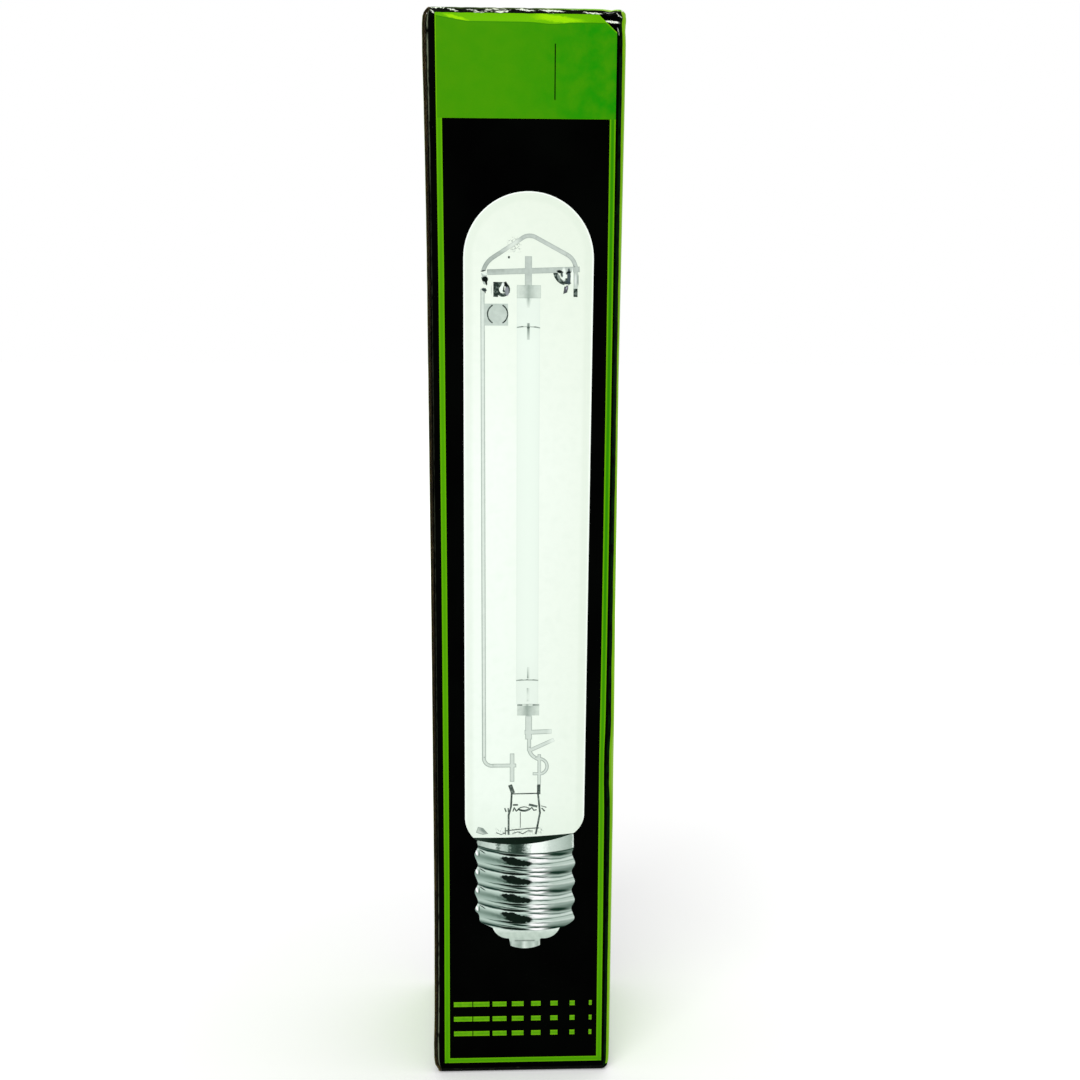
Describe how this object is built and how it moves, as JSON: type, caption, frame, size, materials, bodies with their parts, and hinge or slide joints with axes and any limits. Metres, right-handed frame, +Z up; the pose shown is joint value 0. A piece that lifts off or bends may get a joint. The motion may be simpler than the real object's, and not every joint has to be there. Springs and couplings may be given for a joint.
{
  "type": "lamp carton",
  "caption": "Tall square tuck-end carton for a tubular lamp, with hinged end lids, dust flaps, a glued seam and a printed front.",
  "frame": {"origin": "under the middle of the carton, on the surface that it stands on", "axes": "+Z up along the carton, the printed front faces -Y, +X to the right as seen from the front"},
  "size_m": [0.0538, 0.0535, 0.3084],
  "materials": {
    "black_printed_board": "satin",
    "green_printed_board": "satin",
    "green_ink": "gloss",
    "side_green_ink": "gloss",
    "pale_ink": "gloss",
    "arc_tube_ink": "gloss",
    "grey_ink": "gloss",
    "dark_ink": "gloss",
    "silver_ink": "gloss",
    "white_ink": "gloss"
  },
  "bodies": {
    "carton": {"carton_body": "black_printed_board", "green_print": "green_ink", "dash_print": "green_ink", "right_side_print": "side_green_ink", "left_side_print": "side_green_ink", "lamp_glass_print": "pale_ink", "arc_tube_print": "arc_tube_ink", "lamp_wire_print": "grey_ink", "lamp_dark_print": "dark_ink", "cap_print": "silver_ink", "cap_dark_print": "dark_ink", "cap_bright_print": "white_ink", "contact_print": "silver_ink"},
    "upper_lid": {"top_lid": "green_printed_board"},
    "lower_lid": {"bottom_lid": "green_printed_board"}
  },
  "joints": [
    {"name": "top_lid_hinge", "type": "hinge", "parent": "carton", "child": "upper_lid", "pos_m": [0, -0.0256, 0.3073], "axis": [1, 0, 0], "range_deg": [0, 135]},
    {"name": "bottom_lid_hinge", "type": "hinge", "parent": "carton", "child": "lower_lid", "pos_m": [0, -0.0256, 0.0011], "axis": [-1, 0, 0], "range_deg": [0, 135]}
  ]
}
